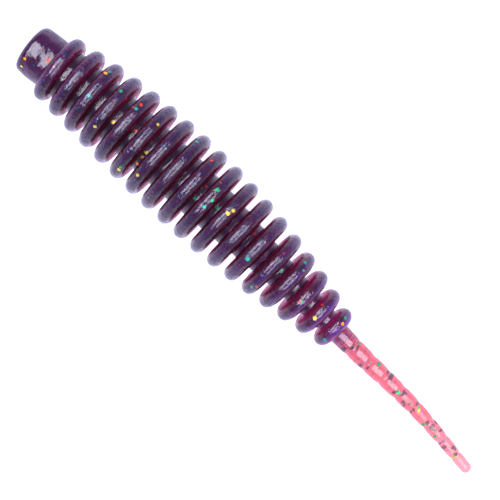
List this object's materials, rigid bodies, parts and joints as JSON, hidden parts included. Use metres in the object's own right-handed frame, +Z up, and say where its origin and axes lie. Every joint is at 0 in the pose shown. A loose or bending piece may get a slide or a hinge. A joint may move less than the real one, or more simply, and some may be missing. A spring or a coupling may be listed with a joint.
{
  "type": "soft plastic worm",
  "caption": "Ringed soft fishing worm with a blunt round nose, round-rimmed rib rings on a narrowing core, and a thin tapered pin tail of a second colour.",
  "frame": {"origin": "centre of the nose's flat end face", "axes": "+X along the nose towards the tail, +Z up; the body curves gently towards -Y as it lies"},
  "size_m": [0.0614, 0.0114, 0.0096],
  "materials": {
    "body_plastic": "gloss",
    "tail_plastic": "gloss"
  },
  "bodies": {
    "head": {"nose": "body_plastic", "ring_01": "body_plastic", "neck_01": "body_plastic"},
    "ring_02": {"ring_02": "body_plastic", "neck_02": "body_plastic"},
    "ring_03": {"ring_03": "body_plastic", "neck_03": "body_plastic"},
    "ring_04": {"ring_04": "body_plastic", "neck_04": "body_plastic"},
    "ring_05": {"ring_05": "body_plastic", "neck_05": "body_plastic"},
    "ring_06": {"ring_06": "body_plastic", "neck_06": "body_plastic"},
    "ring_07": {"ring_07": "body_plastic", "neck_07": "body_plastic"},
    "ring_08": {"ring_08": "body_plastic", "neck_08": "body_plastic"},
    "ring_09": {"ring_09": "body_plastic", "neck_09": "body_plastic"},
    "ring_10": {"ring_10": "body_plastic", "neck_10": "body_plastic"},
    "ring_11": {"ring_11": "body_plastic", "neck_11": "body_plastic"},
    "ring_12": {"ring_12": "body_plastic", "neck_12": "body_plastic"},
    "ring_13": {"ring_13": "body_plastic", "neck_13": "body_plastic"},
    "ring_14": {"ring_14": "body_plastic", "neck_14": "body_plastic"},
    "ring_15": {"ring_15": "body_plastic", "neck_15": "body_plastic"},
    "ring_16": {"ring_16": "body_plastic", "neck_16": "body_plastic"},
    "ring_17": {"ring_17": "body_plastic", "neck_17": "body_plastic"},
    "ring_18": {"ring_18": "body_plastic", "tail_root": "tail_plastic", "tail_web_1": "tail_plastic"},
    "tail_2": {"tail_segment_2": "tail_plastic", "tail_web_2": "tail_plastic"},
    "tail_3": {"tail_segment_3": "tail_plastic", "tail_web_3": "tail_plastic"},
    "tail_4": {"tail_segment_4": "tail_plastic", "tail_web_4": "tail_plastic"},
    "tail_5": {"tail_segment_5": "tail_plastic", "tail_web_5": "tail_plastic"},
    "tail_6": {"tail_segment_6": "tail_plastic", "tail_web_6": "tail_plastic"},
    "tail_7": {"tail_segment_7": "tail_plastic", "tail_web_7": "tail_plastic"},
    "tail_8": {"tail_segment_8": "tail_plastic", "tail_web_8": "tail_plastic"},
    "tail_9": {"tail_segment_9": "tail_plastic"}
  },
  "joints": [
    {"name": "neck_01_sway", "type": "hinge", "parent": "head", "child": "ring_02", "pos_m": [0.00496, -0.00003, 0], "axis": [0.001, 0.0523, 0.9986], "range_deg": [-9, 9], "stiffness_Nm_per_rad": 0.00944, "deforming": ["neck_01"]},
    {"name": "neck_02_lift", "type": "hinge", "parent": "ring_02", "child": "ring_03", "pos_m": [0.00716, -0.0001, 0], "axis": [0.0366, 0.998, -0.0523], "range_deg": [-8, 8], "stiffness_Nm_per_rad": 0.00944, "deforming": ["neck_02"]},
    {"name": "neck_03_sway", "type": "hinge", "parent": "ring_03", "child": "ring_04", "pos_m": [0.00937, -0.0002, 0], "axis": [0.0028, 0.0523, 0.9986], "range_deg": [-8, 8], "stiffness_Nm_per_rad": 0.00944, "deforming": ["neck_03"]},
    {"name": "neck_04_lift", "type": "hinge", "parent": "ring_04", "child": "ring_05", "pos_m": [0.01158, -0.00033, 0], "axis": [0.0685, 0.9963, -0.0523], "range_deg": [-7, 7], "stiffness_Nm_per_rad": 0.00944, "deforming": ["neck_04"]},
    {"name": "neck_05_sway", "type": "hinge", "parent": "ring_05", "child": "ring_06", "pos_m": [0.01378, -0.0005, 0], "axis": [0.0042, 0.0522, 0.9986], "range_deg": [-7, 7], "stiffness_Nm_per_rad": 0.00944, "deforming": ["neck_05"]},
    {"name": "neck_06_lift", "type": "hinge", "parent": "ring_06", "child": "ring_07", "pos_m": [0.01598, -0.00068, 0], "axis": [0.084, 0.9951, -0.0523], "range_deg": [-7, 7], "stiffness_Nm_per_rad": 0.00944, "deforming": ["neck_06"]},
    {"name": "neck_07_sway", "type": "hinge", "parent": "ring_07", "child": "ring_08", "pos_m": [0.01819, -0.00087, 0], "axis": [0.0046, 0.0521, 0.9986], "range_deg": [-7, 7], "stiffness_Nm_per_rad": 0.00944, "deforming": ["neck_07"]},
    {"name": "neck_08_lift", "type": "hinge", "parent": "ring_08", "child": "ring_09", "pos_m": [0.02039, -0.00107, 0], "axis": [0.0935, 0.9942, -0.0523], "range_deg": [-7, 7], "stiffness_Nm_per_rad": 0.0089, "deforming": ["neck_08"]},
    {"name": "neck_09_sway", "type": "hinge", "parent": "ring_09", "child": "ring_10", "pos_m": [0.02259, -0.00128, 0], "axis": [0.0052, 0.0521, 0.9986], "range_deg": [-7, 7], "stiffness_Nm_per_rad": 0.00768, "deforming": ["neck_09"]},
    {"name": "neck_10_lift", "type": "hinge", "parent": "ring_10", "child": "ring_11", "pos_m": [0.02478, -0.00151, 0], "axis": [0.1054, 0.993, -0.0523], "range_deg": [-7, 7], "stiffness_Nm_per_rad": 0.00614, "deforming": ["neck_10"]},
    {"name": "neck_11_sway", "type": "hinge", "parent": "ring_11", "child": "ring_12", "pos_m": [0.02698, -0.00175, 0], "axis": [0.0059, 0.052, 0.9986], "range_deg": [-7, 7], "stiffness_Nm_per_rad": 0.00457, "deforming": ["neck_11"]},
    {"name": "neck_12_lift", "type": "hinge", "parent": "ring_12", "child": "ring_13", "pos_m": [0.02918, -0.002, 0], "axis": [0.1176, 0.9917, -0.0523], "range_deg": [-8, 8], "stiffness_Nm_per_rad": 0.0032, "deforming": ["neck_12"]},
    {"name": "neck_13_sway", "type": "hinge", "parent": "ring_13", "child": "ring_14", "pos_m": [0.03137, -0.00227, -0.00003], "axis": [0.033, 0.0486, 0.9983], "range_deg": [-8, 8], "stiffness_Nm_per_rad": 0.00214, "deforming": ["neck_13"]},
    {"name": "neck_14_lift", "type": "hinge", "parent": "ring_14", "child": "ring_15", "pos_m": [0.03356, -0.00255, -0.00013], "axis": [0.1258, 0.9907, -0.0522], "range_deg": [-9, 9], "stiffness_Nm_per_rad": 0.00138, "deforming": ["neck_14"]},
    {"name": "neck_15_sway", "type": "hinge", "parent": "ring_15", "child": "ring_16", "pos_m": [0.03574, -0.00284, -0.0003], "axis": [0.0973, 0.0397, 0.9945], "range_deg": [-10, 10], "stiffness_Nm_per_rad": 0.000887, "deforming": ["neck_15"]},
    {"name": "neck_16_lift", "type": "hinge", "parent": "ring_16", "child": "ring_17", "pos_m": [0.03792, -0.00314, -0.00052], "axis": [0.1308, 0.99, -0.052], "range_deg": [-11, 11], "stiffness_Nm_per_rad": 0.00059, "deforming": ["neck_16"]},
    {"name": "neck_17_sway", "type": "hinge", "parent": "ring_17", "child": "ring_18", "pos_m": [0.0401, -0.00344, -0.00077], "axis": [0.1192, 0.0362, 0.9922], "range_deg": [-14, 14], "stiffness_Nm_per_rad": 0.000431, "deforming": ["neck_17"]},
    {"name": "tail_1_lift", "type": "hinge", "parent": "ring_18", "child": "tail_2", "pos_m": [0.04413, -0.00399, -0.00124], "axis": [0.1167, 0.9918, -0.052], "range_deg": [-16, 16], "stiffness_Nm_per_rad": 0.000233, "deforming": ["tail_web_1"]},
    {"name": "tail_2_sway", "type": "hinge", "parent": "tail_2", "child": "tail_3", "pos_m": [0.0463, -0.00424, -0.00148], "axis": [0.1179, 0.0402, 0.9922], "range_deg": [-17, 17], "stiffness_Nm_per_rad": 0.000183, "deforming": ["tail_web_2"]},
    {"name": "tail_3_lift", "type": "hinge", "parent": "tail_3", "child": "tail_4", "pos_m": [0.04847, -0.00447, -0.00173], "axis": [0.0985, 0.9938, -0.052], "range_deg": [-18, 18], "stiffness_Nm_per_rad": 0.000142, "deforming": ["tail_web_3"]},
    {"name": "tail_4_sway", "type": "hinge", "parent": "tail_4", "child": "tail_5", "pos_m": [0.05063, -0.0047, -0.00198], "axis": [0.1184, 0.0386, 0.9922], "range_deg": [-19, 19], "stiffness_Nm_per_rad": 0.000108, "deforming": ["tail_web_4"]},
    {"name": "tail_5_lift", "type": "hinge", "parent": "tail_5", "child": "tail_6", "pos_m": [0.0528, -0.005, -0.00223], "axis": [0.1474, 0.9877, -0.052], "range_deg": [-20, 20], "stiffness_Nm_per_rad": 0.0000805, "deforming": ["tail_web_5"]},
    {"name": "tail_6_sway", "type": "hinge", "parent": "tail_6", "child": "tail_7", "pos_m": [0.05494, -0.00537, -0.00248], "axis": [0.121, 0.0298, 0.9922], "range_deg": [-20, 20], "stiffness_Nm_per_rad": 0.0000587, "deforming": ["tail_web_6"]},
    {"name": "tail_7_lift", "type": "hinge", "parent": "tail_7", "child": "tail_8", "pos_m": [0.05708, -0.00582, -0.00273], "axis": [0.2063, 0.9771, -0.052], "range_deg": [-20, 20], "stiffness_Nm_per_rad": 0.0000416, "deforming": ["tail_web_7"]},
    {"name": "tail_8_sway", "type": "hinge", "parent": "tail_8", "child": "tail_9", "pos_m": [0.05921, -0.00628, -0.00298], "axis": [0.1216, 0.0271, 0.9922], "range_deg": [-20, 20], "stiffness_Nm_per_rad": 0.0000286, "deforming": ["tail_web_8"]}
  ]
}
